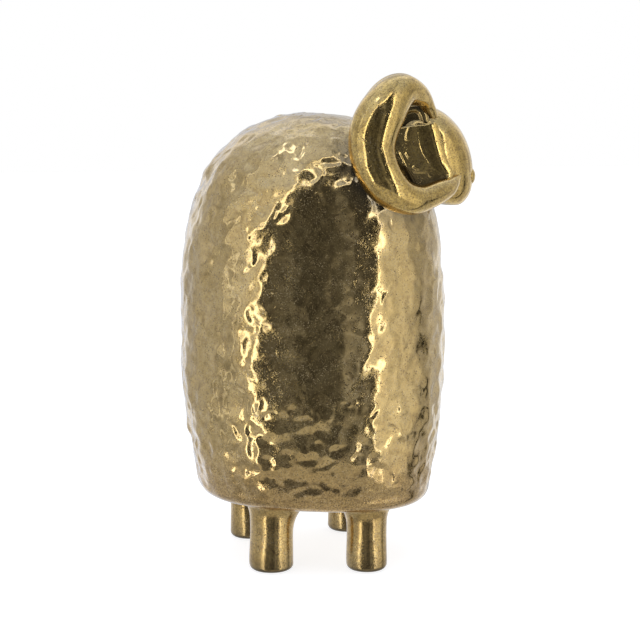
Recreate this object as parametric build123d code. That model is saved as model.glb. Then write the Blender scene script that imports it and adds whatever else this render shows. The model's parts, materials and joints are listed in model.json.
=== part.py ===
"""Free-standing glazed ceramic sheep ornament.

Frame: +X the way the legs and body face, +Y the animal's left, +Z up, ground at Z = 0.
The head looks a little to the animal's right, so the head group has its own frame:
s runs forward along the muzzle, v outwards to the animal's right, z up.
All lengths in millimetres.
"""
import math
import os

from build123d import *

# ---------------------------------------------------------------- driving dimensions
OVERALL_HEIGHT = 233.5       # feet to the top of the horn coils
WALL = 5.5                   # slip-cast wall of the body
HEAD_WALL = 4.0

# origin: centre of the whole ornament's box, on the ground
ORIGIN_X = 6.49
ORIGIN_Y = -3.63
GROUND_Z = -1.15             # soles of the feet in the working frame

# body: stack of super-elliptical sections (height, half length)
BODY_PROFILE = [
    (37.0, 56.4), (44.0, 57.5), (54.0, 59.1), (64.0, 60.8), (74.0, 62.2), (84.0, 63.1),
    (94.0, 63.4), (109.0, 63.3), (124.0, 63.0), (138.5, 62.2), (153.0, 60.9),
    (162.5, 59.5), (172.3, 57.1), (177.1, 55.4), (181.9, 53.2), (186.6, 50.6),
    (191.4, 47.5), (196.2, 43.6), (200.9, 38.9), (205.0, 33.4), (208.4, 27.0),
    (211.0, 19.8), (212.6, 12.0),
]
BODY_TOP = 213.2             # crown of the back
BODY_WIDTH_RATIO = 0.90      # half width / half length
BODY_EXPONENT = 2.40         # section exponent at the base, 2 is an ellipse
BODY_EXPONENT_HIGH = 2.05    # section exponent from the waist up
BODY_EXPONENT_FADE = (44.0, 104.0)
BODY_TURN = -10.0            # plan turn of the section's long axis, degrees
BASE_Z = 30.0                # underside of the body
BASE_RADIUS = 6.0            # rounding between the underside and the sides
BASE_TILT = 0.036            # underside drops towards the front, mm per mm
BASE_TILT_TOP = 62.0         # height where the tilt has faded out
BASE_SHIFT = 0.7             # the base stands this far forward of the upper body
BASE_SHIFT_TOP = 95.0        # height where that has faded out

# legs: name, x, y, radius
LEGS = [
    ("leg_front_right", 20.0, -34.8, 9.6),
    ("leg_front_left", 23.6, 32.9, 9.8),
    ("leg_rear_right", -24.7, -27.2, 10.4),
    ("leg_rear_left", -27.4, 29.6, 10.0),
]
LEG_FOOT_ROUND = 2.4
LEG_FLARE = 5.5              # luted fillet at the top of each leg
LEG_TENON_R = 6.2
LEG_BORE_R = 4.6
LEG_SOLE = 5.0
VENT_R = 1.7                 # pin vent in the underside, for firing

# head group
HEAD_TURN = -12.5            # degrees about the body's vertical axis
# height, back limit, front limit, half width, in the head's own frame
HEAD_SECTIONS = [
    (170.2, 62.0, 70.0, 5.0),
    (171.6, 57.0, 72.4, 10.0),
    (174.2, 51.0, 74.5, 14.0),
    (178.0, 45.0, 76.0, 17.0),
    (183.0, 40.5, 76.5, 19.3),
    (189.0, 37.0, 76.3, 20.7),
    (195.5, 34.5, 75.0, 21.4),
    (201.8, 33.6, 72.7, 21.2),
    (207.2, 33.4, 69.5, 20.2),
    (211.6, 34.0, 65.4, 18.0),
    (214.6, 35.4, 61.4, 15.0),
    (216.9, 37.6, 56.4, 11.2),
    (218.3, 40.4, 51.6, 6.6),
]
NECK_Z = 191.0
NECK_R = 9.0
NECK_BORE_R = 5.5

# horn coil centre line: s, v, z, radius of the rolled clay
HORN_PATH = [
    (56.5, 8.0, 207.5, 4.5),
    (55.1, 13.5, 213.9, 4.2),
    (52.9, 19.5, 219.7, 4.0),
    (48.3, 27.0, 223.7, 5.5),
    (42.3, 34.0, 224.9, 7.6),
    (35.8, 40.5, 219.4, 10.0),
    (31.0, 44.5, 210.5, 11.1),
    (28.9, 46.6, 199.4, 10.7),
    (30.7, 48.6, 190.6, 10.2),
    (35.1, 49.0, 183.5, 9.2),
    (41.1, 46.8, 178.4, 8.0),
    (47.5, 41.8, 176.1, 7.1),
    (54.0, 35.0, 176.6, 6.1),
    (59.5, 28.5, 178.3, 5.5),
    (64.0, 22.5, 180.5, 5.2),
    (67.5, 17.0, 182.9, 4.4),
    (68.9, 13.0, 185.0, 3.4),
]
# ear flap against the cheek: outline in the head's side view (s, z)
EAR_OUTLINE = [
    (36.5, 205.0), (41.0, 207.8), (46.0, 208.7), (52.5, 209.1), (56.2, 209.8),
    (58.3, 210.7), (60.2, 205.3), (62.3, 197.1), (64.3, 191.1), (67.0, 186.4),
    (64.0, 182.0), (57.0, 179.8), (50.0, 180.4), (43.5, 183.7), (38.5, 190.0),
    (36.0, 198.0),
]
EAR_INNER = 18.5
EAR_OUTER = 25.0
# root of the ear, set back in the pocket under the horn
EAR_ROOT_OUTLINE = [
    (37.0, 202.5), (35.6, 207.5), (37.2, 212.5), (40.5, 216.0), (45.0, 218.6),
    (49.5, 219.0), (53.0, 217.0), (55.0, 213.0), (56.0, 208.0), (55.0, 202.5),
]
EAR_ROOT_INNER = 11.0
EAR_ROOT_OUTER = 19.2
NOSE = (75.4, 184.0)         # s, z of the nose pad
NOSE_HALF = (2.5, 5.6, 4.1)  # half depth, half width, half height


# ---------------------------------------------------------------- helpers
def profile(z):
    """Half length of the body at height z, bottom rounding left out."""
    pts = BODY_PROFILE
    for (z0, a0), (z1, a1) in zip(pts, pts[1:]):
        if z <= z1:
            return a0 + (a1 - a0) * (z - z0) / (z1 - z0)
    return pts[-1][1]


def section(z, a, inset=0.0, count=28):
    """Closed super-elliptical wire of the body at height z."""
    half_x, half_y = a - inset, a * BODY_WIDTH_RATIO - inset
    turn = math.radians(BODY_TURN)
    fade = min(1.0, max(0.0, (BASE_TILT_TOP - z) / (BASE_TILT_TOP - BASE_Z - BASE_RADIUS)))
    low, high = BODY_EXPONENT_FADE
    part = min(1.0, max(0.0, (z - low) / (high - low)))
    part = part * part * (3 - 2 * part)
    lean = BASE_SHIFT * min(1.0, max(0.0, (BASE_SHIFT_TOP - z) / (BASE_SHIFT_TOP - BASE_Z)))
    e = 2 / (BODY_EXPONENT + (BODY_EXPONENT_HIGH - BODY_EXPONENT) * part)
    pts = []
    for i in range(count):
        t = 2 * math.pi * i / count
        c, s = math.cos(t), math.sin(t)
        x = half_x * math.copysign(abs(c) ** e, c)
        y = half_y * math.copysign(abs(s) ** e, s)
        xr = x * math.cos(turn) - y * math.sin(turn)
        yr = x * math.sin(turn) + y * math.cos(turn)
        pts.append((xr + lean, yr, z - BASE_TILT * fade * xr))
    return Wire([Edge.make_spline([Vector(*p) for p in pts], periodic=True)])


def lofted_body(inset, bottom, top):
    wires = []
    radius = BASE_RADIUS - 0.55 * inset
    for deg in (0, 30, 60):
        t = math.radians(deg)
        z = bottom + radius * (1 - math.cos(t))
        wires.append(section(z, BODY_PROFILE[0][1], inset + radius * (1 - math.sin(t))))
    for z, a in BODY_PROFILE:
        if bottom + radius - 0.01 <= z <= top:
            wires.append(section(z, a, inset))
    return Solid.make_loft(wires)


def in_head(s, v, z, side=1):
    """Point of the head's frame in the body's frame; side 1 is the right, -1 the left."""
    t = math.radians(HEAD_TURN)
    v = v * side
    return (s * math.cos(t) + v * math.sin(t), s * math.sin(t) - v * math.cos(t), z)


def head_section(z, back, front, half_width, count=24):
    mid, half = (back + front) / 2, (front - back) / 2
    pts = []
    for i in range(count):
        t = 2 * math.pi * i / count
        pts.append(Vector(*in_head(mid + half * math.cos(t), -half_width * math.sin(t), z)))
    return Wire([Edge.make_spline(pts, periodic=True)])


def catmull(points, n):
    """n points along a centripetal curve through the given points."""
    out = []
    segs = len(points) - 1
    for k in range(n):
        u = k / (n - 1) * segs
        i = min(int(u), segs - 1)
        f = u - i
        p0 = points[max(i - 1, 0)]
        p1, p2 = points[i], points[i + 1]
        p3 = points[min(i + 2, segs)]
        out.append(tuple(
            0.5 * (2 * b + (c - a) * f + (2 * a - 5 * b + 4 * c - d) * f * f
                   + (3 * b - a - 3 * c + d) * f ** 3)
            for a, b, c, d in zip(p0, p1, p2, p3)))
    return out


def horn_solid(side):
    pts = catmull(HORN_PATH, 27)
    centres = [Vector(*in_head(p[0], p[1], p[2], side)) for p in pts]
    wires = []
    x_dir = None
    for i, c in enumerate(centres):
        tangent = (centres[min(i + 1, len(pts) - 1)] - centres[max(i - 1, 0)]).normalized()
        if x_dir is None:
            x_dir = tangent.cross(Vector(0, 0, 1)).normalized()
        x_dir = (x_dir - tangent * x_dir.dot(tangent)).normalized()
        plane = Plane(origin=c, x_dir=x_dir, z_dir=tangent)
        wires.append(Wire([Edge.make_circle(pts[i][3], plane)]))
    return Solid.make_loft(wires)


def one(shape):
    """Largest solid of a boolean's result."""
    return max(shape.solids(), key=lambda s: s.volume)


def column(x, y, r, z0, z1):
    return Solid.make_cylinder(r, z1 - z0, Plane((x, y, z0)))


# ---------------------------------------------------------------- body
body_outer = lofted_body(0.0, BASE_Z, BODY_TOP)
body_inner = lofted_body(WALL, BASE_Z + WALL, 206.0)

base_z = {name: BASE_Z - BASE_TILT * x for name, x, y, r in LEGS}
shell = body_outer - body_inner
for name, x, y, r in LEGS:
    shell = shell - column(x, y, LEG_TENON_R, BASE_Z - 6, BASE_Z + WALL + 8)
shell = shell - column(0, 0, VENT_R, BASE_Z - 6, BASE_Z + WALL + 8)

neck_start = in_head(30, 0, NECK_Z)
neck_axis = Vector(math.cos(math.radians(HEAD_TURN)), math.sin(math.radians(HEAD_TURN)), 0)
neck_plane = Plane(origin=neck_start, z_dir=neck_axis)
shell = shell - Solid.make_cylinder(NECK_R, 30, neck_plane)

# ---------------------------------------------------------------- legs
legs = {}
flat = Solid.extrude(
    Face(section(BASE_Z, BODY_PROFILE[0][1], BASE_RADIUS - 1.0)), Vector(0, 0, -14))
flat = Pos(0, 0, 6) * flat
for name, x, y, r in LEGS:
    post = column(x, y, r, GROUND_Z, BASE_Z + BASE_RADIUS + 4)
    post = post.fillet(LEG_FOOT_ROUND, [e for e in post.edges() if abs(e.center().Z - GROUND_Z) < 1e-6])
    zt = base_z[name] + 1.4
    with BuildPart() as flare_part:
        with BuildSketch(Plane.XZ):
            with BuildLine():
                Polyline((0, zt - LEG_FLARE - 1.4), (r, zt - LEG_FLARE - 1.4))
                ThreePointArc((r, zt - LEG_FLARE - 1.4),
                              (r + 0.293 * LEG_FLARE, zt - 0.293 * (LEG_FLARE + 1.4)),
                              (r + LEG_FLARE, zt))
                Polyline((r + LEG_FLARE, zt), (0, zt), (0, zt - LEG_FLARE - 1.4))
            make_face()
        revolve(axis=Axis.Z)
    flare = Pos(x, y, 0) * flare_part.part
    leg = post + (flare & flat)
    leg = one(leg - body_outer)
    leg = leg + column(x, y, LEG_TENON_R, 20, BASE_Z + WALL + 1.0)
    leg = leg - column(x, y, LEG_BORE_R, GROUND_Z + LEG_SOLE, BASE_Z + WALL + 9)
    legs[name] = one(leg)

# ---------------------------------------------------------------- head group
skull = Solid.make_loft([head_section(*row) for row in HEAD_SECTIONS])
horns = {}
for node, side in (("horn_right", 1), ("horn_left", -1)):
    horns[node] = one(horn_solid(side) - skull)

ears = {}
for node, side in (("ear_right", 1), ("ear_left", -1)):
    v_out, v_in = EAR_OUTER, EAR_INNER
    wire = Wire.make_polygon([Vector(*in_head(s, v_in, z, side)) for s, z in EAR_OUTLINE], close=True)
    way = Vector(*in_head(0, v_out - v_in, 0, side))
    flap = Solid.extrude(Face(wire), way)
    root_wire = Wire.make_polygon(
        [Vector(*in_head(s, EAR_ROOT_INNER, z, side)) for s, z in EAR_ROOT_OUTLINE], close=True)
    root_way = Vector(*in_head(0, EAR_ROOT_OUTER - EAR_ROOT_INNER, 0, side))
    flap = flap + Solid.extrude(Face(root_wire), root_way)
    coil = horns["horn_right" if side == 1 else "horn_left"]
    ears[node] = one(flap - skull - coil - body_outer)

nose_blank = Solid.make_sphere(1.0)
nose_blank = scale(nose_blank, by=NOSE_HALF)
nose_blank = Rot(0, 0, HEAD_TURN) * nose_blank
nose_blank = Pos(*in_head(NOSE[0], 0, NOSE[1])) * nose_blank
nose = one(nose_blank - skull)

head = one(skull - body_outer)
spigot = Solid.make_cylinder(NECK_R, 28, Plane(origin=in_head(41.5, 0, NECK_Z), z_dir=neck_axis))
spigot = spigot & skull
head = head + spigot
cavity = scale(Solid.make_sphere(1.0), by=(15.0, 15.5, 17.5))
cavity = Rot(0, 0, HEAD_TURN) * cavity
cavity = Pos(*in_head(58.0, 0, 193.5)) * cavity
cavity = cavity - body_outer
head = head - cavity
head = head - Solid.make_cylinder(NECK_BORE_R, 26, Plane(origin=in_head(35, 0, NECK_Z), z_dir=neck_axis))
head = one(head)

# ---------------------------------------------------------------- write
nodes = {"body_shell": one(shell), **legs, "head": head, **ears, **horns, "nose": nose}

os.makedirs("parts", exist_ok=True)
move = Pos(-ORIGIN_X, -ORIGIN_Y, -GROUND_Z)
for name, solid in nodes.items():
    export_step(move * solid, f"parts/{name}.step")

low = [1e9] * 3
high = [-1e9] * 3
for solid in nodes.values():
    b = solid.bounding_box()
    for i, (a, c) in enumerate(zip(tuple(b.min), tuple(b.max))):
        low[i], high[i] = min(low[i], a), max(high[i], c)
print("box before the move:", [round(v, 2) for v in low], [round(v, 2) for v in high])
print("centre:", round((low[0] + high[0]) / 2, 3), round((low[1] + high[1]) / 2, 3))
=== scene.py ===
import json
import math

import bpy
import numpy as np
from mathutils import Matrix
from mathutils.kdtree import KDTree

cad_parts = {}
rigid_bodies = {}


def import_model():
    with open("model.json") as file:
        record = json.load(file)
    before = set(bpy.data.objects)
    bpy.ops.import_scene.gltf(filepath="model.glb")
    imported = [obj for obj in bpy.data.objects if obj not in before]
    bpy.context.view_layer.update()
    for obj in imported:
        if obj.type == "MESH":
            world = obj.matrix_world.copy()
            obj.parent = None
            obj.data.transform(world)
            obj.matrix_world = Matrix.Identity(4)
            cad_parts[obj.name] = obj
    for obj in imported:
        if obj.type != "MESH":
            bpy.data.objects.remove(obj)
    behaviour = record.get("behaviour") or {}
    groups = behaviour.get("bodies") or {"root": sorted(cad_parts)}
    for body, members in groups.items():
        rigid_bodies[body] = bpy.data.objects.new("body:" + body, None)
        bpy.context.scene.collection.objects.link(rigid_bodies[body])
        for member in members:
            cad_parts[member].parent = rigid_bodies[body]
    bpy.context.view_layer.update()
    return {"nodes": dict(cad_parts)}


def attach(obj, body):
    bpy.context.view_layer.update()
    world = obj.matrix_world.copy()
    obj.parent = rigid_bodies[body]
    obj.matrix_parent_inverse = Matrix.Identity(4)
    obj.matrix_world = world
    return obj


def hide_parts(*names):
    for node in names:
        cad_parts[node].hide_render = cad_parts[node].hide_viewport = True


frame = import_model()

# ------------------------------------------------------------------ shared dimensions, mm
GROUND = -1.15                             # soles of the feet in the working frame
ORIGIN = np.array([6.49, -3.63, GROUND])   # working frame to the part's own frame
BODY_PROFILE = np.array([
    (37.0, 56.4), (44.0, 57.5), (54.0, 59.1), (64.0, 60.8), (74.0, 62.2), (84.0, 63.1),
    (94.0, 63.4), (109.0, 63.3), (124.0, 63.0), (138.5, 62.2), (153.0, 60.9),
    (162.5, 59.5), (172.3, 57.1), (177.1, 55.4), (181.9, 53.2), (186.6, 50.6),
    (191.4, 47.5), (196.2, 43.6), (200.9, 38.9), (205.0, 33.4), (208.4, 27.0),
    (211.0, 19.8), (212.6, 12.0)])
WIDTH_RATIO, BODY_TURN = 0.90, math.radians(-10.0)
EXPONENT, EXPONENT_HIGH, EXPONENT_FADE = 2.40, 2.05, (44.0, 104.0)
BASE_Z, BASE_R, BASE_TILT, TILT_TOP, CROWN = 30.0, 6.0, 0.036, 62.0, 213.2
BASE_SHIFT, SHIFT_TOP = 0.7, 95.0          # the base stands a little forward
VENT_R = 1.7
LEGS = {
    "leg_front_right": (20.0, -34.8, 9.6),
    "leg_front_left": (23.6, 32.9, 9.8),
    "leg_rear_right": (-24.7, -27.2, 10.4),
    "leg_rear_left": (-27.4, 29.6, 10.0),
}
HEAD_TURN = math.radians(-12.5)
HEAD_SECTIONS = np.array([   # z, back, front, half width
    (170.0, 66.0, 66.2, 0.1),
    (170.2, 62.0, 70.0, 5.0),
    (171.6, 57.0, 72.4, 10.0),
    (174.2, 51.0, 74.5, 14.0),
    (178.0, 45.0, 76.0, 17.0),
    (183.0, 40.5, 76.5, 19.3),
    (189.0, 37.0, 76.3, 20.7),
    (195.5, 34.5, 75.0, 21.4),
    (201.8, 33.6, 72.7, 21.2),
    (207.2, 33.4, 69.5, 20.2),
    (211.6, 34.0, 65.4, 18.0),
    (214.6, 35.4, 61.4, 15.0),
    (216.9, 37.6, 56.4, 11.2),
    (218.3, 40.4, 51.6, 6.6),
    (218.8, 45.9, 46.1, 0.1)])
HORN_PATH = np.array([       # s, v, z, radius
    (56.5, 8.0, 207.5, 4.5), (55.1, 13.5, 213.9, 4.2), (52.9, 19.5, 219.7, 4.0),
    (48.3, 27.0, 223.7, 5.5), (42.3, 34.0, 224.9, 7.6), (35.8, 40.5, 219.4, 10.0),
    (31.0, 44.5, 210.5, 11.1), (28.9, 46.6, 199.4, 10.7), (30.7, 48.6, 190.6, 10.2),
    (35.1, 49.0, 183.5, 9.2), (41.1, 46.8, 178.4, 8.0), (47.5, 41.8, 176.1, 7.1),
    (54.0, 35.0, 176.6, 6.1), (59.5, 28.5, 178.3, 5.5), (64.0, 22.5, 180.5, 5.2),
    (67.5, 17.0, 182.9, 4.4), (68.9, 13.0, 185.0, 3.4)])
EAR_OUTLINE = np.array([
    (36.5, 205.0), (41.0, 207.8), (46.0, 208.7), (52.5, 209.1), (56.2, 209.8),
    (58.3, 210.7), (60.2, 205.3), (62.3, 197.1), (64.3, 191.1), (67.0, 186.4),
    (64.0, 182.0), (57.0, 179.8), (50.0, 180.4), (43.5, 183.7), (38.5, 190.0),
    (36.0, 198.0)])
EAR_INNER, EAR_OUTER = 18.5, 25.0
EAR_ROOT_OUTLINE = np.array([
    (37.0, 202.5), (35.6, 207.5), (37.2, 212.5), (40.5, 216.0), (45.0, 218.6),
    (49.5, 219.0), (53.0, 217.0), (55.0, 213.0), (56.0, 208.0), (55.0, 202.5)])
EAR_ROOT_INNER, EAR_ROOT_OUTER = 11.0, 19.2


# ------------------------------------------------------------------ helpers
def spline(knots, values, at):
    """Natural cubic spline through the knots, for each column of values."""
    t = np.asarray(knots, float)
    y = np.asarray(values, float)
    n = len(t)
    h = np.diff(t)
    a = np.zeros((n, n))
    r = np.zeros((n,) + y.shape[1:])
    a[0, 0] = a[-1, -1] = 1.0
    for i in range(1, n - 1):
        a[i, i - 1:i + 2] = h[i - 1], 2 * (h[i - 1] + h[i]), h[i]
        r[i] = 6 * ((y[i + 1] - y[i]) / h[i] - (y[i] - y[i - 1]) / h[i - 1])
    m = np.linalg.solve(a, r)
    at = np.asarray(at, float)
    k = np.clip(np.searchsorted(t, at) - 1, 0, n - 2)
    f = at - t[k]
    hk = h[k]
    if y.ndim > 1:
        f, hk = f[:, None], hk[:, None]
    b = (y[k + 1] - y[k]) / hk - hk * (2 * m[k] + m[k + 1]) / 6
    return y[k] + b * f + m[k] / 2 * f ** 2 + (m[k + 1] - m[k]) / (6 * hk) * f ** 3


def along(points, count, weights=None):
    """Points spaced evenly by arc length on a smooth curve through the given ones."""
    p = np.asarray(points, float)
    d = np.linalg.norm(np.diff(p, axis=0), axis=1)
    t = np.concatenate([[0], np.cumsum(np.sqrt(d) if weights == "centripetal" else d)])
    fine = spline(t, p, np.linspace(0, t[-1], 4000))
    s = np.concatenate([[0], np.cumsum(np.linalg.norm(np.diff(fine, axis=0), axis=1))])
    even = np.linspace(0, s[-1], count)
    return np.stack([np.interp(even, s, fine[:, j]) for j in range(p.shape[1])], 1)


def in_head(s, v, z, side=1):
    s, v, z = np.broadcast_arrays(np.asarray(s, float), np.asarray(v, float) * side, np.asarray(z, float))
    c, t = math.cos(HEAD_TURN), math.sin(HEAD_TURN)
    return np.stack([s * c + v * t, s * t - v * c, z], -1)


def grid_faces(rows, cols):
    """Quads of a grid that closes round its columns."""
    i = np.arange(rows - 1)[:, None] * cols
    j = np.arange(cols)[None]
    k = (np.arange(cols)[None] + 1) % cols
    return np.stack([i + j, i + k, i + cols + k, i + cols + j], -1).reshape(-1, 4)


def tube_mesh(name, rings, first=None, last=None):
    """Closed mesh from rings of points, with a fan to a point at each end."""
    rows, cols = rings.shape[:2]
    verts = [tuple(p) for p in rings.reshape(-1, 3)]
    faces = [tuple(int(v) for v in f) for f in grid_faces(rows, cols)]
    verts.append(tuple(rings[0].mean(0) if first is None else first))
    verts.append(tuple(rings[-1].mean(0) if last is None else last))
    a, b = len(verts) - 2, len(verts) - 1
    for j in range(cols):
        k = (j + 1) % cols
        faces.append((a, k, j))
        faces.append((b, (rows - 1) * cols + j, (rows - 1) * cols + k))
    verts = (np.array(verts) - ORIGIN) / 1000.0
    fan = np.array([(f[0], f[k], f[k + 1]) for f in faces for k in range(1, len(f) - 1)])
    a3, b3, c3 = (verts[fan[:, k]] for k in range(3))
    if (a3 * np.cross(b3, c3)).sum() < 0:                    # faces look outwards
        faces = [tuple(reversed(f)) for f in faces]
    mesh = bpy.data.meshes.new(name)
    mesh.from_pydata(verts.tolist(), [], faces)
    mesh.update()
    mesh.shade_smooth()
    piece = bpy.data.objects.new(name, mesh)
    bpy.context.collection.objects.link(piece)
    return piece


def waves(p, seed, count, low, high, amount):
    """Smooth random undulation: a sum of plane waves of wavelengths low to high, mm."""
    rng = np.random.default_rng(seed)
    out = np.zeros(p.shape[:-1])
    for _ in range(count):
        d = rng.normal(size=3)
        d /= np.linalg.norm(d)
        lam = rng.uniform(low, high)
        out += np.sin(p @ d * (2 * math.pi / lam) + rng.uniform(0, 2 * math.pi)) * lam / high
    return out * amount / math.sqrt(count / 2)


def grid_normals(g):
    du = np.roll(g, -1, 1) - np.roll(g, 1, 1)
    dv = np.gradient(g, axis=0)
    n = np.cross(du, dv)
    length = np.linalg.norm(n, axis=-1, keepdims=True)
    return n / np.maximum(length, 1e-9)


# ------------------------------------------------------------------ body
def exponent(z):
    low, high = EXPONENT_FADE
    f = np.clip((z - low) / (high - low), 0, 1)
    return EXPONENT + (EXPONENT_HIGH - EXPONENT) * f * f * (3 - 2 * f)


def plan_radius(theta, half_x, half_y, z):
    """Distance from the axis to the super-ellipse, at plan angle theta in its own frame."""
    c, s = np.abs(np.cos(theta)), np.abs(np.sin(theta))
    n = exponent(z)
    return ((c / half_x) ** n + (s / half_y) ** n) ** (-1 / n)


def tilt(x, z):
    fade = np.clip((TILT_TOP - z) / (TILT_TOP - BASE_Z - BASE_R), 0, 1)
    return z - BASE_TILT * fade * x


def lean(z):
    return BASE_SHIFT * np.clip((SHIFT_TOP - z) / (SHIFT_TOP - BASE_Z), 0, 1)


def body_grid(cols, step):
    """Rings of the smooth body, from the vent in the underside to the crown."""
    theta = np.linspace(0, 2 * math.pi, cols, endpoint=False)
    # meridian: half length, inset, height, share of the plan shape (0 is a round hole)
    side = BODY_PROFILE[:, ::-1]
    crown = np.array([(0.0, CROWN), (-12.0, 212.6)])
    side = along(np.vstack([side, crown]), 4000)
    side = side[:np.argmax(side[:, 0] <= 0.0)]
    s = np.concatenate([[0], np.cumsum(np.linalg.norm(np.diff(side, axis=0), axis=1))])
    n = int(s[-1] / step)
    side = np.stack([np.interp(np.linspace(0, s[-1], n), s, side[:, j]) for j in (0, 1)], 1)[:-1]
    rows = []
    a0 = BODY_PROFILE[0, 1]
    # vent: up the hole's wall, round its lip, then across the underside
    for r, z in ((VENT_R - 0.2, 5.5), (VENT_R, 4.5), (VENT_R, 2.6), (VENT_R, 1.6)):
        rows.append((np.full(cols, r), BASE_Z + z))
    for deg in (15, 35, 55, 75, 90):
        t = math.radians(deg)
        rows.append((np.full(cols, VENT_R + 1.6 * (1 - math.cos(t))), BASE_Z + 1.6 * (1 - math.sin(t))))
    edge = plan_radius(theta, a0 - BASE_R, a0 * WIDTH_RATIO - BASE_R, BASE_Z)
    count = int(44 / (step * 1.6))
    for k in range(1, count + 1):
        f = k / count
        rows.append(((VENT_R + 1.6) * (1 - f) + edge * f, BASE_Z))
    count = int(11 / step)
    for k in range(1, count + 1):
        t = math.pi / 2 * k / count
        inset = BASE_R * (1 - math.sin(t))
        rows.append((plan_radius(theta, a0 - inset, a0 * WIDTH_RATIO - inset, BASE_Z),
                     BASE_Z + BASE_R * (1 - math.cos(t))))
    for a, z in side[1:]:
        rows.append((plan_radius(theta, a, a * WIDTH_RATIO, z), z))
    out = np.zeros((len(rows), cols, 3))
    for i, (r, z) in enumerate(rows):
        x = r * np.cos(theta + BODY_TURN)
        y = r * np.sin(theta + BODY_TURN)
        out[i] = np.stack([x + lean(np.asarray(z)), y, tilt(x, np.full(cols, z))], -1)
    return out


def scattered(flat, seed, spacing, tries):
    """Random points of the surface, none nearer than spacing to another."""
    rng = np.random.default_rng(seed)
    cell, centres = {}, []
    for q in flat[rng.permutation(len(flat))[:tries]]:
        key = tuple((q // spacing).astype(int))
        close = False
        for dx in (-1, 0, 1):
            for dy in (-1, 0, 1):
                for dz in (-1, 0, 1):
                    for c in cell.get((key[0] + dx, key[1] + dy, key[2] + dz), ()):
                        if (c[0] - q[0]) ** 2 + (c[1] - q[1]) ** 2 + (c[2] - q[2]) ** 2 < spacing ** 2:
                            close = True
        if not close:
            cell.setdefault(key, []).append(tuple(q))
            centres.append(q)
    return np.array(centres)


def tree_of(points):
    tree = KDTree(len(points))
    for i, c in enumerate(points):
        tree.insert(c, i)
    tree.balance()
    return tree


def hammer(p, seed, spacing, reach, sharp, warp=1.1):
    """Depth of overlapping tool dents at each point p, mm, at most 0."""
    rng = np.random.default_rng(seed)
    flat = p.reshape(-1, 3)
    bent = flat + np.stack([waves(flat, seed + 100 + k, 12, 6, 18, warp) for k in range(3)], -1)
    centres = scattered(bent, seed, spacing, 26000)
    n = len(centres)
    depth = rng.uniform(0.30, 1.0, n) * reach
    curve = rng.uniform(0.65, 1.45, n)
    stretch = rng.normal(size=(n, 3))
    stretch /= np.linalg.norm(stretch, axis=1, keepdims=True)
    tree = tree_of(centres)
    near = np.array([[hit[1] for hit in tree.find_n(q, 7)] for q in bent])
    rel = bent[:, None] - centres[near]
    part = (rel * stretch[near]).sum(-1)
    r2 = np.maximum((rel ** 2).sum(-1) - 0.5 * part ** 2, 0)
    h = np.minimum(-depth[near] + r2 / (spacing * 0.62) ** 2 * reach * curve[near] * 0.62, 0.0)
    soft = -np.log(np.exp(-h * sharp).sum(1)) / sharp
    return np.minimum(soft + math.log(7) / sharp, 0).reshape(p.shape[:-1])


def scars(p, seed, count, tall, wide, weight):
    """Short curved ridges and knocks left by the tool, mm."""
    rng = np.random.default_rng(seed)
    flat = p.reshape(-1, 3)
    w = weight.reshape(-1)
    tree = tree_of(flat)
    out = np.zeros(len(flat))
    normal = grid_normals(p).reshape(-1, 3)
    for i in rng.choice(len(flat), count, replace=False, p=w / w.sum()):
        c, n = flat[i], normal[i]
        a = np.cross(n, rng.normal(size=3))
        a /= np.linalg.norm(a)
        b = np.cross(n, a)
        half = rng.uniform(0.8, 3.2)
        bend = rng.uniform(-0.16, 0.16)
        width = wide * rng.uniform(0.75, 1.3)
        high = tall * rng.uniform(0.35, 1.0) * rng.choice((1.0, 1.0, -0.8))
        hits = np.array([h[1] for h in tree.find_range(c, half + 3.5)])
        rel = flat[hits] - c
        u, v = rel @ a, rel @ b
        off = v - bend * u * u
        over = np.maximum(np.abs(u) - half, 0)
        out[hits] += high * np.exp(-(off ** 2 + over ** 2) / width ** 2)
    return out.reshape(p.shape[:-1])


def build_body():
    cols = 470
    grid = body_grid(cols, 0.80)
    normal = grid_normals(grid)
    z = grid[..., 2]
    low = np.clip((z - 31.0) / 12.0, 0.0, 1.0)
    side = low * low * (3 - 2 * low)
    shape = waves(grid, 11, 26, 17, 46, 0.26)
    shape += waves(grid, 12, 26, 8, 15, 0.150)
    shape += waves(grid, 13, 36, 4.5, 8, 0.012)
    dents = hammer(grid, 3, 6.8, 0.42, 30.0)
    fine = hammer(grid, 5, 4.3, 0.17, 46.0, 0.9)
    big = hammer(grid, 9, 10.5, 0.80, 18.0, 1.6)
    left = np.clip((-grid[..., 0] - 14) / 38, 0, 1)            # most worked on the back of the body
    front = np.clip((grid[..., 0] - 38) / 22, 0, 1)
    foot = np.clip((104 - z) / 50, 0, 1)
    low_band = np.clip((92 - z) / 22, 0, 1)
    top = np.clip((z - 160) / 40, 0, 1)
    amount = side * (0.78 + 0.30 * foot + 0.66 * left + 0.65 * top + 0.34 * front + 0.40 * front * np.clip((150 - z) / 40, 0, 1))
    marks = scars(grid, 7, 520, 0.30, 0.90, side * (0.45 + foot + 0.3 * left) * (z > 38))
    h = amount * (shape + dents * 0.72 * (1 + 0.85 * low_band) + fine * (1 - 0.10 * low_band)) + side * (marks + 0.40)
    h = h + side * low_band * (big * 0.50 + waves(grid, 17, 20, 9, 17, 0.16) + 0.26)
    belly = np.clip((78 - z) / 24, 0, 1)
    h = h + side * 0.40 * belly * belly * (3 - 2 * belly) * np.clip((z - 34) / 10, 0, 1)
    grid = grid + normal * h[..., None]
    return tube_mesh("body_shell_skin", grid)


body = build_body()
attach(body, "root")
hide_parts("body_shell")


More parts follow.
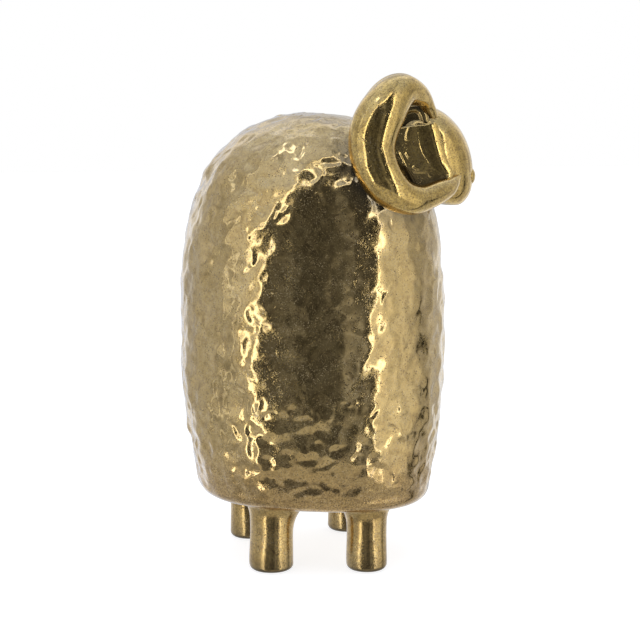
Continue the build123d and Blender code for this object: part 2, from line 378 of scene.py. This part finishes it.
# ------------------------------------------------------------------ legs
def underside(x, y):
    """Height of the body's lower surface over a plan point."""
    c, s = math.cos(BODY_TURN), math.sin(BODY_TURN)
    x = x - BASE_SHIFT
    u, w = x * c + y * s, -x * s + y * c
    a0 = BODY_PROFILE[0, 1]
    b0 = a0 * WIDTH_RATIO
    lo, hi = np.zeros_like(u), np.full_like(u, BASE_R)
    for _ in range(30):
        mid = (lo + hi) / 2
        out = (np.abs(u) / (a0 - mid)) ** EXPONENT + (np.abs(w) / (b0 - mid)) ** EXPONENT > 1
        hi = np.where(out, mid, hi)
        lo = np.where(out, lo, mid)
    k = np.clip(1 - (lo + hi) / 2 / BASE_R, 0, 1)
    z = BASE_Z + BASE_R * (1 - np.sqrt(np.maximum(1 - k * k, 0)))
    return z - BASE_TILT * x


def build_leg(name, x, y, r, seed):
    cols = 72
    theta = np.linspace(0, 2 * math.pi, cols, endpoint=False)
    outward = np.array([x, y]) / math.hypot(x, y)
    facing = np.cos(theta) * outward[0] + np.sin(theta) * outward[1]   # 1 on the outer side
    inner = 0.5 - 0.5 * facing
    flare = 2.6 + 4.6 * inner ** 1.2
    drop = 6.0 + 4.5 * inner
    if name == "leg_rear_right":
        pulled = np.clip(np.cos(theta - 0.35), 0, 1) ** 1.5
        flare = flare + 4.6 * pulled
        drop = drop + 6.5 * pulled
    rows = []
    foot = 2.3
    for q in (0.0, 0.35, 0.7, 0.93):
        rows.append((np.full(cols, (r - foot) * q + 0.01), np.full(cols, GROUND)))
    for deg in range(0, 91, 10):
        t = math.radians(deg)
        rows.append((np.full(cols, r - foot + foot * math.sin(t)), np.full(cols, GROUND + foot * (1 - math.cos(t)))))
    top = underside(x + (r + flare) * np.cos(theta), y + (r + flare) * np.sin(theta))
    stem_top = underside(x + r * np.cos(theta), y + r * np.sin(theta)) - drop
    for k in range(1, 26):
        f = k / 26
        rows.append((np.full(cols, r), GROUND + foot + (stem_top - foot - GROUND) * f))
    for k in range(0, 15):
        t = math.pi / 2 * k / 14
        rad = r + flare * (1 - math.cos(t))
        zb = underside(x + rad * np.cos(theta), y + rad * np.sin(theta))
        rows.append((rad, zb - drop * (1 - math.sin(t)) + 0.25 * (k / 14) ** 2))
    rad = r + flare - 1.5
    rows.append((rad, top + 2.2))
    out = np.zeros((len(rows), cols, 3))
    for i, (rad, z) in enumerate(rows):
        out[i] = np.stack([x + rad * np.cos(theta), y + rad * np.sin(theta), z], -1)
    n = grid_normals(out)
    z = out[..., 2]
    keep = np.clip((z - GROUND) / 4, 0, 1) * np.clip((31 - z) / 6, 0.15, 1)
    waist = -0.15 * np.exp(-((z - 16) / 7.5) ** 2)
    facets = -0.0062 * r * np.cos(8 * (theta - math.radians(-120.8)))      # pressed a little flat by the fingers
    h = keep * (waves(out, seed, 12, 14, 40, 0.22) + waist + facets[None])
    out = out + n * h[..., None]
    return tube_mesh(name + "_skin", out)


for i, (name, (x, y, r)) in enumerate(LEGS.items()):
    leg = build_leg(name, x, y, r, 40 + i)
    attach(leg, "root")
    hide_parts(name)


# ------------------------------------------------------------------ head
def build_head():
    cols = 120
    rows = along(HEAD_SECTIONS, 110, "centripetal")
    t = np.linspace(0, 2 * math.pi, cols, endpoint=False)
    out = np.zeros((len(rows), cols, 3))
    for i, (z, back, front, width) in enumerate(rows):
        mid, half = (back + front) / 2, (front - back) / 2
        out[i] = in_head(mid + half * np.cos(t), -width * np.sin(t), np.full(cols, z))
    n = grid_normals(out)
    out = out + n * waves(out, 61, 14, 16, 44, 0.16)[..., None]
    return tube_mesh("head_skin", out)


head = build_head()
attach(head, "root")
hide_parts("head")


# ------------------------------------------------------------------ horns
def build_horn(name, side, seed):
    cols = 64
    drawn = np.vstack([HORN_PATH[:-3], [(64.0, 21.8, 180.4, 4.7), (67.0, 17.3, 182.8, 3.4), (69.3, 14.2, 185.0, 1.7)]])
    path = along(drawn, 230)
    centre = in_head(path[:, 0], path[:, 1], path[:, 2], side)
    radius = path[:, 3]
    tangent = np.gradient(centre, axis=0)
    tangent /= np.linalg.norm(tangent, axis=1, keepdims=True)
    x = np.cross(tangent[0], (0, 0, 1.0))
    x /= np.linalg.norm(x)
    t = np.linspace(0, 2 * math.pi, cols, endpoint=False)
    rings = []
    for c, d, r in zip(centre, tangent, radius):
        x = x - d * (x @ d)
        x /= np.linalg.norm(x)
        y = np.cross(d, x)
        rings.append(c + r * (np.cos(t)[:, None] * x + np.sin(t)[:, None] * y))
    # rounded tip
    d, c, r = tangent[-1], centre[-1], radius[-1]
    for deg in (25, 45, 62, 76, 86):
        a = math.radians(deg)
        rings.append(c + d * r * math.sin(a) + r * math.cos(a) * (np.cos(t)[:, None] * x + np.sin(t)[:, None] * y))
    rings = np.array(rings)
    n = grid_normals(rings)
    out = rings + n * (waves(rings, seed, 16, 13, 34, 0.26) + waves(rings, seed + 9, 12, 7, 12, 0.03))[..., None]
    return tube_mesh(name + "_skin", out, last=out[-1].mean(0) + d * 0.02)


for name, side, seed in (("horn_right", 1, 71), ("horn_left", -1, 72)):
    horn = build_horn(name, side, seed)
    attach(horn, "root")
    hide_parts(name)
    horn.visible_glossy = False                # its mirror image in the body would be too wide and too orange


# ------------------------------------------------------------------ ears
def softened(outline, count):
    """Outline with its corners cut twice, then evenly spaced."""
    p = outline
    for _ in range(2):
        q = np.roll(p, -1, 0)
        p = np.stack([0.78 * p + 0.22 * q, 0.22 * p + 0.78 * q], 1).reshape(-1, 2)
    closed = np.vstack([p, p[:1]])
    s = np.concatenate([[0], np.cumsum(np.linalg.norm(np.diff(closed, axis=0), axis=1))])
    even = np.linspace(0, s[-1], count, endpoint=False)
    return np.stack([np.interp(even, s, closed[:, j]) for j in (0, 1)], 1)


def edge_distance(q, p):
    """Distance of points q to the closed outline p."""
    a, b = p, np.roll(p, -1, 0)
    ab = b - a
    f = ((q[:, None] - a) * ab).sum(-1) / (ab ** 2).sum(-1)
    near = a + np.clip(f, 0, 1)[..., None] * ab
    return np.linalg.norm(q[:, None] - near, axis=-1).min(1)


def leaf(name, side, outline, inner, outer, edge, front):
    """Rounded slab of clay; front(points, edge distance) gives its outer face."""
    p = softened(outline, 240)
    c = p.mean(0)
    d = p - c
    rows = []

    def ring(keep, v):
        q = c + d * np.asarray(keep).reshape(-1, 1)
        rows.append(in_head(q[:, 0], np.broadcast_to(v, len(q)), q[:, 1], side))

    length = np.linalg.norm(d, axis=1)
    for keep in (0.03, 0.25, 0.5, 0.75, 0.9):
        ring(np.full(len(p), keep), inner)
    for deg in (0, 30, 60, 90):
        a = math.radians(deg)
        ring(1 - edge * (1 - math.sin(a)) / length, inner + edge * (1 - math.cos(a)))
    lip = front(p, np.zeros(len(p)))
    for deg in (0, 15, 30, 45, 60, 75):
        a = math.radians(deg)
        ring(1 - edge * (1 - math.cos(a)) / length, lip - edge * (1 - math.sin(a)))
    inset = np.arange(edge, 4.6, 0.3)
    for k in inset:
        keep = 1 - k / length
        q = c + d * keep[:, None]
        ring(keep, front(q, edge_distance(q, p) - edge))
    last = keep
    for f in np.linspace(0.0, 1.0, 38)[1:-1]:
        keep = last * (1 - f)
        q = c + d * keep[:, None]
        ring(keep, front(q, edge_distance(q, p) - edge))
    out = np.array(rows)
    return tube_mesh(name, out)


def joined(name, pieces):
    """One mesh from several closed ones."""
    verts, faces = [], []
    for o in pieces:
        base = len(verts)
        verts += [tuple(v.co) for v in o.data.vertices]
        faces += [tuple(base + k for k in f.vertices) for f in o.data.polygons]
    mesh = bpy.data.meshes.new(name)
    mesh.from_pydata(verts, [], faces)
    mesh.update()
    mesh.shade_smooth()
    for o in pieces:
        old = o.data
        bpy.data.objects.remove(o)
        bpy.data.meshes.remove(old)
    piece = bpy.data.objects.new(name, mesh)
    bpy.context.collection.objects.link(piece)
    return piece


def smooth(x, low, high):
    f = np.clip((x - low) / (high - low), 0, 1)
    return f * f * (3 - 2 * f)


EAR_FOLDS = (                                # s, z points, height and half width of each small ridge in the ear
    (((50.1, 206.0), (50.4, 203.6), (51.0, 199.8), (52.4, 196.0), (55.5, 191.4)), 0.17, 0.50),
    (((45.6, 207.0), (44.9, 205.0), (44.8, 202.6)), 0.30, 0.75),
    (((42.0, 196.0), (45.0, 189.8), (49.4, 182.9)), 0.16, 0.45),
    (((43.2, 191.4), (47.9, 182.9)), 0.13, 0.40),
    (((44.8, 195.8), (45.4, 194.7)), 0.26, 0.60),
    (((48.3, 189.8), (49.7, 189.0)), 0.24, 0.55),
    (((55.0, 186.5), (55.6, 185.6)), 0.16, 0.50))


def line_distance(q, points):
    a, b = np.array(points[:-1]), np.array(points[1:])
    ab = b - a
    f = np.clip(((q[:, None] - a) * ab).sum(-1) / (ab ** 2).sum(-1), 0, 1)
    return np.linalg.norm(q[:, None] - (a + f[..., None] * ab), axis=-1).min(1)


def build_ear(name, side, seed):
    def flap_front(q, d):
        # rolled front edge, smooth brow behind it, then a funnel towards the back
        s, z = q[:, 0], q[:, 1]
        u = np.interp(z, (182, 186.4, 191.1, 197.1, 205.3, 210.7), (67.5, 67.0, 64.3, 62.3, 60.2, 58.3)) - s
        v = spline((-3, 0, 1.0, 2.0, 3.0, 4.0, 5.2, 7.0, 9.0, 12.0, 15.0, 18.5, 23, 30),
                   (19.6, 22.55, 23.3, 23.9, 24.43, 24.8, 24.98, 25.05, 24.97, 24.68, 24.2, 23.5, 22.4, 20.6), u)
        for points, high, wide in EAR_FOLDS:
            v = v + high * np.exp(-(line_distance(q, points) / wide) ** 2)
        return v - 1.0 * smooth(190.0 - z, 0, 9) * smooth(u, 2, 8)

    def root_front(q, d):
        return EAR_ROOT_OUTER - 0.8 * smooth(d, 0.1, 2.2) - 0.8 * smooth(214.0 - q[:, 1], 0, 12)

    flap = leaf(name + "_flap", side, EAR_OUTLINE, EAR_INNER - 2.5, EAR_OUTER, 0.8, flap_front)
    root = leaf(name + "_root", side, EAR_ROOT_OUTLINE, EAR_ROOT_INNER, EAR_ROOT_OUTER, 2.6, root_front)
    return joined(name + "_skin", [flap, root])


for name, side, seed in (("ear_right", 1, 81), ("ear_left", -1, 82)):
    ear = build_ear(name, side, seed)
    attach(ear, "root")
    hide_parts(name)


# ------------------------------------------------------------------ nose
def build_nose():
    cols, rows = 48, 26
    t = np.linspace(0, 2 * math.pi, cols, endpoint=False)
    out = []
    for i in range(rows):
        a = math.pi * (i + 0.5) / rows
        up = -math.cos(a)
        ring = math.sin(a)
        wide = 5.6 * (1 + 0.12 * up)                          # a little wider at the top
        out.append(in_head(75.4 + 2.5 * ring * np.cos(t), wide * ring * np.sin(t) * -1,
                           np.full(cols, 184.0 + 4.1 * up)))
    return tube_mesh("nose_skin", np.array(out))


nose = build_nose()
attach(nose, "root")
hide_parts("nose")


# ------------------------------------------------------------------ materials
def glaze(name, hammered):
    m = bpy.data.materials.new(name)
    m.use_nodes = True
    nt = m.node_tree
    nodes, links = nt.nodes, nt.links
    bsdf = nodes["Principled BSDF"]
    coord = nodes.new("ShaderNodeTexCoord").outputs["Object"]

    def noise(scale, detail=2.0, rough=0.5, lac=2.0):
        n = nodes.new("ShaderNodeTexNoise")
        n.inputs["Scale"].default_value = scale
        n.inputs["Detail"].default_value = detail
        n.inputs["Roughness"].default_value = rough
        n.inputs["Lacunarity"].default_value = lac
        links.new(coord, n.inputs["Vector"])
        return n.outputs["Fac"]

    def ramp(fac, stops):
        r = nodes.new("ShaderNodeValToRGB")
        e = r.color_ramp.elements
        while len(e) < len(stops):
            e.new(0.5)
        for k, (pos, col) in enumerate(stops):
            e[k].position = pos
            e[k].color = (*col, 1) if isinstance(col, tuple) else (col, col, col, 1)
        links.new(fac, r.inputs["Fac"])
        return r.outputs["Color"]

    def mix(fac, a, b, kind="MIX"):
        n = nodes.new("ShaderNodeMix")
        n.data_type = "RGBA"
        n.blend_type = kind
        for sock, val in (("Factor", fac), (6, a), (7, b)):
            s = n.inputs[sock] if isinstance(sock, int) else n.inputs[0]
            if hasattr(val, "is_linked") or hasattr(val, "node"):
                links.new(val, s)
            elif isinstance(val, tuple):
                s.default_value = (*val, 1)
            else:
                s.default_value = val
        return n.outputs[2]

    def math_node(op, a, b=0.5):
        n = nodes.new("ShaderNodeMath")
        n.operation = op
        for k, val in enumerate((a, b)):
            if hasattr(val, "node"):
                links.new(val, n.inputs[k])
            else:
                n.inputs[k].default_value = val
        return n.outputs[0]

    # where the glaze is dry and sandy: the foot rim of the body, and the smooth pieces
    height = nodes.new("ShaderNodeSeparateXYZ")
    links.new(coord, height.inputs[0])
    band = nodes.new("ShaderNodeMapRange")
    band.inputs["From Min"].default_value = 0.068
    band.inputs["From Max"].default_value = 0.034
    links.new(height.outputs["Z"], band.inputs["Value"])
    sand = math_node("MAXIMUM", band.outputs["Result"], 0.22 if hammered else 0.60)

    cloud = noise(95.0, 4.0, 0.6)
    mottle = noise(330.0, 3.0, 0.65)
    grain = noise(1350.0, 2.0, 0.6)
    pits = nodes.new("ShaderNodeTexVoronoi")
    pits.inputs["Scale"].default_value = 900.0
    links.new(coord, pits.inputs["Vector"])
    pit = ramp(pits.outputs["Distance"], [(0.16, 0.0), (0.34, 1.0)])
    pit_pick = ramp(noise(300.0, 2.0), [(0.42, 0.0), (0.60, 1.0)])
    pit = mix(pit_pick, (1.0, 1.0, 1.0), pit)

    tones = ((0.72, 0.505, 0.185), (0.80, 0.585, 0.24)) if hammered else ((0.86, 0.59, 0.180), (0.97, 0.70, 0.240))
    gold = mix(ramp(cloud, [(0.35, 0.0), (0.68, 1.0)]), *tones)
    gold = mix(ramp(mottle, [(0.34, 0.60), (0.52, 0.0)]), gold, (0.47, 0.31, 0.11))
    speck = math_node("MULTIPLY", ramp(grain, [(0.41, 1.0), (0.54, 0.0)] if hammered else [(0.38, 1.0), (0.52, 0.0)]), math_node("MULTIPLY", sand, 0.95))
    if not hammered:                                           # the legs are browner, with less grain
        stem = nodes.new("ShaderNodeMapRange")
        stem.inputs["From Min"].default_value = 0.038
        stem.inputs["From Max"].default_value = 0.032
        links.new(height.outputs["Z"], stem.inputs["Value"])
        speck = math_node("MULTIPLY", speck, math_node("SUBTRACT", 1.0, math_node("MULTIPLY", stem.outputs["Result"], 0.45)))
        gold = mix(stem.outputs["Result"], gold, mix(1.0, gold, (0.82, 0.81, 0.96), "MULTIPLY"))
    gold = mix(speck, gold, (0.36, 0.235, 0.08) if hammered else (0.30, 0.195, 0.065))
    gold = mix(pit, (0.25, 0.165, 0.065), gold)
    thin = math_node("MULTIPLY", ramp(cloud, [(0.36, 0.25), (0.64, 1.0)]), ramp(noise(1750.0, 1.0, 0.5), [(0.58, 0.0), (0.70, 1.0)]))
    gold = mix(thin, gold, (0.60, 0.47, 0.27))
    # painted shade: the base colour is mixed towards a dull dark brown wherever the ambient occlusion node finds a
    # recess, crease or join between parts
    painted_recess_shade = nodes.new("ShaderNodeAmbientOcclusion")
    painted_recess_shade.samples = 8
    painted_recess_shade.inputs["Distance"].default_value = 0.018
    gold = mix(ramp(painted_recess_shade.outputs["AO"], [(0.28, 1.0), (0.84, 0.0)]), gold, (0.17, 0.135, 0.08))
    if hammered:                                               # warmer towards the foot rim
        gold = mix(math_node("MULTIPLY", band.outputs["Result"], 0.55), gold, mix(1.0, gold, (1.02, 0.90, 0.86), "MULTIPLY"))
    links.new(gold, bsdf.inputs["Base Color"])
    # matt specks where the lustre is thin
    links.new(math_node("SUBTRACT", 1.0, math_node("MULTIPLY", thin, 0.40 if hammered else 0.15)), bsdf.inputs["Metallic"])

    rough = math_node("ADD", math_node("MULTIPLY", ramp(cloud, [(0.3, 0.0), (0.75, 1.0)]), 0.06 if hammered else 0.03), 0.05 if hammered else 0.075)
    dry = math_node("MULTIPLY", ramp(noise(150.0, 3.0, 0.6), [(0.44, 0.0), (0.66, 1.0)]), ramp(noise(1050.0, 2.0, 0.7), [(0.42, 0.0), (0.66, 1.0)]))
    rough = math_node("ADD", rough, math_node("MULTIPLY", dry, 0.28 if hammered else 0.10))
    rough = math_node("ADD", rough, math_node("MULTIPLY", sand, 0.05 if hammered else 0.03))
    if not hammered:                                           # the legs are more satin
        rough = math_node("ADD", rough, math_node("MULTIPLY", stem.outputs["Result"], 0.07))
    rough = math_node("ADD", rough, math_node("MULTIPLY", ramp(grain, [(0.35, 0.0), (0.75, 1.0)]), 0.07 if hammered else 0.03))
    links.new(rough, bsdf.inputs["Roughness"])
    bsdf.inputs["Coat Weight"].default_value = 1.0 if hammered else 0.2   # clear glaze over the gold
    bsdf.inputs["Coat IOR"].default_value = 1.5
    bsdf.inputs["Coat Roughness"].default_value = 0.04

    peel = nodes.new("ShaderNodeBump")
    peel.inputs["Distance"].default_value = 0.00004
    links.new(math_node("ADD", math_node("MULTIPLY", sand, 0.42), 0.06), peel.inputs["Strength"])
    links.new(grain, peel.inputs["Height"])
    dimple = nodes.new("ShaderNodeBump")
    dimple.inputs["Strength"].default_value = 0.10 if hammered else 0.12
    dimple.inputs["Distance"].default_value = 0.00010
    links.new(mottle, dimple.inputs["Height"])
    links.new(peel.outputs["Normal"], dimple.inputs["Normal"])
    pinhole = nodes.new("ShaderNodeBump")
    pinhole.inputs["Strength"].default_value = 0.5
    pinhole.inputs["Distance"].default_value = 0.00008
    links.new(pit, pinhole.inputs["Height"])
    links.new(dimple.outputs["Normal"], pinhole.inputs["Normal"])
    links.new(pinhole.outputs["Normal"], bsdf.inputs["Normal"])
    for node in nodes:                                        # the clear coat shares the same small relief
        if node.type == "BSDF_PRINCIPLED":
            links.new(pinhole.outputs["Normal"], node.inputs["Coat Normal"])
    return m


hammered_glaze = glaze("hammered_gold_glaze", True)
smooth_glaze = glaze("smooth_gold_glaze", False)
for o in list(bpy.data.objects):
    if o.type == "MESH" and o.name.endswith("_skin"):
        o.data.materials.append(hammered_glaze if o is body else smooth_glaze)
for o in frame["nodes"].values():
    for s in o.material_slots:
        s.material = smooth_glaze

# ------------------------------------------------------------------ camera
AZ = math.radians(-10.2)
PITCH = math.radians(8.88)
right = np.array([math.cos(AZ), math.sin(AZ), 0.0])
ahead = np.array([-math.sin(AZ), math.cos(AZ), 0.0])
place = -ahead * 769.0 + right * 3.6 + np.array([0, 0, 234.0])
look = ahead * math.cos(PITCH) - np.array([0, 0, math.sin(PITCH)])
up = np.cross(right, look)
cam_data = bpy.data.cameras.new("camera")
cam_data.sensor_width = 36.0
cam_data.lens = 90.0
cam = bpy.data.objects.new("camera", cam_data)
bpy.context.collection.objects.link(cam)
p = (place - ORIGIN) / 1000.0
cam.matrix_world = Matrix((
    (right[0], up[0], -look[0], p[0]),
    (right[1], up[1], -look[1], p[1]),
    (right[2], up[2], -look[2], p[2]),
    (0, 0, 0, 1)))
bpy.context.scene.camera = cam

# ------------------------------------------------------------------ floor and light
floor_mesh = bpy.data.meshes.new("floor")
size = 3.0
floor_mesh.from_pydata([(-size, -size, -0.0002), (size, -size, -0.0002), (size, size, -0.0002), (-size, size, -0.0002)],
                       [], [(0, 1, 2, 3)])
floor = bpy.data.objects.new("floor", floor_mesh)
bpy.context.collection.objects.link(floor)
fm = bpy.data.materials.new("pale_floor")
fm.use_nodes = True
fn = fm.node_tree.nodes
fb = fn["Principled BSDF"]
fb.inputs["Base Color"].default_value = (0.5, 0.5, 0.5, 1)
fb.inputs["Roughness"].default_value = 1.0
fb.inputs["Specular IOR Level"].default_value = 0.0
fb.inputs["Emission Color"].default_value = (1, 1, 1, 1)
fb.inputs["Emission Strength"].default_value = 0.84
floor_mesh.materials.append(fm)
floor.visible_glossy = False

world = bpy.data.worlds.new("studio")
bpy.context.scene.world = world
world.use_nodes = True
wn, wl = world.node_tree.nodes, world.node_tree.links
wn.clear()
w_out = wn.new("ShaderNodeOutputWorld")
w_bg = wn.new("ShaderNodeBackground")
w_white = wn.new("ShaderNodeBackground")
w_mix = wn.new("ShaderNodeMixShader")
w_path = wn.new("ShaderNodeLightPath")
w_white.inputs["Color"].default_value = (1, 1, 1, 1)
w_white.inputs["Strength"].default_value = 1.0
wl.new(w_path.outputs["Is Camera Ray"], w_mix.inputs[0])
wl.new(w_bg.outputs[0], w_mix.inputs[1])
wl.new(w_white.outputs[0], w_mix.inputs[2])
wl.new(w_mix.outputs[0], w_out.inputs["Surface"])
w_dir = wn.new("ShaderNodeTexCoord").outputs["Generated"]
w_xyz = wn.new("ShaderNodeSeparateXYZ")
wl.new(w_dir, w_xyz.inputs[0])


def wm(op, a, b=0.0, c=0.0):
    n = wn.new("ShaderNodeMath")
    n.operation = op
    for k, val in enumerate((a, b, c)):
        if k >= len(n.inputs):
            break
        if hasattr(val, "node"):
            wl.new(val, n.inputs[k])
        else:
            n.inputs[k].default_value = val
    return n.outputs[0]


def step(value, low, high):
    """0 below low, 1 above high, smooth between; reversed when low > high."""
    n = wn.new("ShaderNodeMapRange")
    n.interpolation_type = "SMOOTHSTEP"
    wl.new(value, n.inputs["Value"])
    a, b, flip = (low, high, False) if low < high else (high, low, True)
    n.inputs["From Min"].default_value = a
    n.inputs["From Max"].default_value = b
    n.inputs["To Min"].default_value = 1.0 if flip else 0.0
    n.inputs["To Max"].default_value = 0.0 if flip else 1.0
    return n.outputs["Result"]


deg = math.pi / 180
cx, cy = math.sin(AZ), -math.cos(AZ)            # towards the open, dark side of the studio
wx, wy, wz = w_xyz.outputs
toward = wm("ADD", wm("MULTIPLY", wx, cx), wm("MULTIPLY", wy, cy))
across = wm("SUBTRACT", wm("MULTIPLY", wy, cx), wm("MULTIPLY", wx, cy))
phi = wm("ARCTAN2", across, toward)              # plus is to the picture's right
turn = wm("ABSOLUTE", phi)
rise = wm("ARCSINE", wz)
phi = wm("DIVIDE", phi, deg)                     # degrees from here on
turn = wm("DIVIDE", turn, deg)
rise = wm("DIVIDE", rise, deg)


def line(value, *knots):
    """Piecewise straight function of value through (x, y) knots, level beyond the ends."""
    total = knots[0][1]
    for (x0, y0), (x1, y1) in zip(knots, knots[1:]):
        n = wn.new("ShaderNodeMapRange")
        wl.new(value, n.inputs["Value"])
        n.inputs["From Min"].default_value = x0
        n.inputs["From Max"].default_value = x1
        n.inputs["To Min"].default_value = 0.0
        n.inputs["To Max"].default_value = y1 - y0
        total = wm("ADD", total, n.outputs["Result"])
    return total


def blend(a, b, f):
    return wm("ADD", a, wm("MULTIPLY", wm("SUBTRACT", b, a), f))


# the open dark side of the room, between two tall lit panels and a lit ceiling
left_edge = line(rise, (-24, -35), (-13, -39), (-8, -41.5), (0, -42), (10, -38.5), (18, -35), (28, -30.5),
                 (40, -23.5), (49, -16))
top_edge = line(phi, (-24, 46), (-16, 50.5), (-8, 53.5), (8, 55.5), (24, 57), (50, 60))
right_edge = line(rise, (-24, 44), (-12, 47), (-4, 48), (8, 49.5), (15, 53.5), (22, 59), (30, 66))
band = line(rise, (-28, 5), (-13, 7), (-4, 8.5), (10, 8.5), (22, 7.5), (32, 7), (44, 6), (55, 4.5))
out_left = wm("MAXIMUM", wm("SUBTRACT", left_edge, phi), wm("SUBTRACT", rise, top_edge))   # degrees outside the dark side
out_band = wm("SUBTRACT", out_left, band)         # degrees outside the brighter border round it
out_right = wm("SUBTRACT", phi, right_edge)
dark = wm("MULTIPLY", step(out_left, 1.0, -1.0), step(out_right, 1.0, -1.0))
dark = wm("MULTIPLY", dark, step(rise, -30.8, -29.4))
dark_level = line(phi, (-41, 0.045), (-32, 0.05), (-21, 0.10), (-14, 0.10), (-5, 0.068), (5, 0.062),
                  (18, 0.075), (25, 0.16), (32, 0.16), (37, 0.055), (46, 0.045))
w_clutter = wn.new("ShaderNodeTexNoise")           # the room and the bench are not even
w_clutter.inputs["Scale"].default_value = 4.5
w_clutter.inputs["Detail"].default_value = 2.0
wl.new(w_dir, w_clutter.inputs["Vector"])
clutter = w_clutter.outputs["Fac"]
dark_level = wm("MULTIPLY", dark_level, line(clutter, (0.30, 0.50), (0.50, 1.0), (0.70, 1.9)))
dark_level = wm("MULTIPLY", dark_level, line(rise, (-14, 1.5), (2, 1.05), (30, 0.95)))

walls = line(phi, (-172, 0.62), (-160, 0.86), (-148, 0.92), (-138, 0.68), (-126, 0.55), (-110, 0.50),
             (-102, 0.58), (-92, 0.44), (-76, 0.47), (-74, 1.3), (-72.2, 1.3), (-71.6, 0.30), (-70.0, 0.30),
             (-68.5, 0.68), (40, 0.68), (46, 0.9), (61, 0.9), (65, 0.72), (82, 0.72), (96, 0.44),
             (112, 0.42), (124, 0.60), (136, 0.48), (146, 0.86), (160, 0.86), (172, 0.62))
roof = line(phi, (-180, 0.92), (-140, 0.80), (-110, 0.62), (-60, 0.70), (0, 0.50), (60, 0.62), (110, 0.52), (180, 0.92))
roof = blend(roof, 0.62, step(rise, 66, 80))
sky = blend(walls, roof, step(rise, 42, 60))
sky = wm("MULTIPLY", sky, line(clutter, (0.32, 0.72), (0.50, 1.0), (0.68, 1.14)))
ring_dark = wm("MULTIPLY", step(out_band, 0.6, 1.4), step(out_band, 3.6, 2.6))
sky = wm("MULTIPLY", sky, wm("SUBTRACT", 1.0, wm("MULTIPLY", ring_dark, 0.60)))
reach = wm("MULTIPLY", step(out_right, 1.0, -1.0), step(out_left, -0.8, 0.8))
hot_width = line(rise, (-20, 6.5), (-12, 7.2), (-7, 7.0), (0, 3.6))
hot = wm("MULTIPLY", wm("MULTIPLY", reach, step(out_band, 1.0, -1.0)), 0.32)
hot = wm("ADD", hot, wm("MULTIPLY", wm("MULTIPLY", reach, step(wm("SUBTRACT", out_left, hot_width), 1.1, -1.1)), 2.0))
rim = wm("MULTIPLY", step(out_band, -2.6, -1.6), step(out_band, 0.4, -0.6))
hot = wm("ADD", hot, wm("MULTIPLY", wm("MULTIPLY", wm("MULTIPLY", reach, rim), step(rise, 48, 36)), 1.1))
hot_right = wm("MULTIPLY", step(out_right, -0.8, 0.8), step(out_right, 6.5, 5.0))
hot_right = wm("MULTIPLY", hot_right, line(out_right, (2.0, 2.9), (3.8, 0.8)))
hot = wm("ADD", hot, wm("MULTIPLY", hot_right, step(rise, 56, 44)))
sky = wm("ADD", sky, hot)
left_low = blend(1.0, line(phi, (-90, 1.0), (-76, 0.76), (-50, 0.76), (-40, 1.0)), step(rise, 2, -16))
table = line(rise, (-60, 0.46), (-46, 0.44), (-38, 0.48), (-33, 0.46), (-30, 0.43))
table = blend(table, line(turn, (60, 0.47), (125, 0.50), (150, 0.70)), step(turn, 44, 54))
table = wm("MULTIPLY", table, line(clutter, (0.32, 0.78), (0.50, 1.0), (0.68, 1.15)))
outer = wm("MULTIPLY", blend(sky, table, step(rise, -28.2, -30.8)), left_low)
seam = wm("MULTIPLY", wm("MULTIPLY", step(phi, 101.5, 102.5), step(phi, 109.5, 108.5)), step(rise, -4, -9))   # a dark gap between two panels
outer = wm("MULTIPLY", outer, wm("SUBTRACT", 1.0, wm("MULTIPLY", seam, 0.95)))

lamp_turn, lamp_rise = math.radians(-50), math.radians(72)
lamp = (np.array([math.cos(AZ), math.sin(AZ), 0]) * math.sin(lamp_turn) * math.cos(lamp_rise)
        + np.array([math.sin(AZ), -math.cos(AZ), 0]) * math.cos(lamp_turn) * math.cos(lamp_rise)
        + np.array([0, 0, math.sin(lamp_rise)]))
w_dot = wn.new("ShaderNodeVectorMath")
w_dot.operation = "DOT_PRODUCT"
wl.new(w_dir, w_dot.inputs[0])
w_dot.inputs[1].default_value = tuple(lamp)
spot = step(w_dot.outputs["Value"], math.cos(math.radians(6.5)), math.cos(math.radians(4.5)))
outer = wm("ADD", outer, wm("MULTIPLY", spot, 1.6))

level = blend(outer, dark_level, dark)
day = wm("MULTIPLY", step(rise, 16, 56), wm("SUBTRACT", 1.0, wm("MINIMUM", hot, 1.0)))
day = wm("MAXIMUM", day, wm("MULTIPLY", step(phi, -44, -64), 0.35))
day = wm("MULTIPLY", day, wm("SUBTRACT", 1.0, dark))   # share of cool daylight from above and the left
w_col = wn.new("ShaderNodeCombineColor")
for k, (cool, sky_cool) in enumerate(((1.0, 1.0), (1.03, 1.09), (1.12, 1.36))):
    shade = wm("ADD", wm("MULTIPLY", dark, cool - 1.0), wm("MULTIPLY", day, sky_cool - 1.0))
    wl.new(wm("MULTIPLY", level, wm("ADD", 1.0, shade)), w_col.inputs[k])
wl.new(w_col.outputs[0], w_bg.inputs["Color"])
w_bg.inputs["Strength"].default_value = 1.0

scene = bpy.context.scene
scene.view_settings.view_transform = "Standard"
scene.view_settings.look = "None"
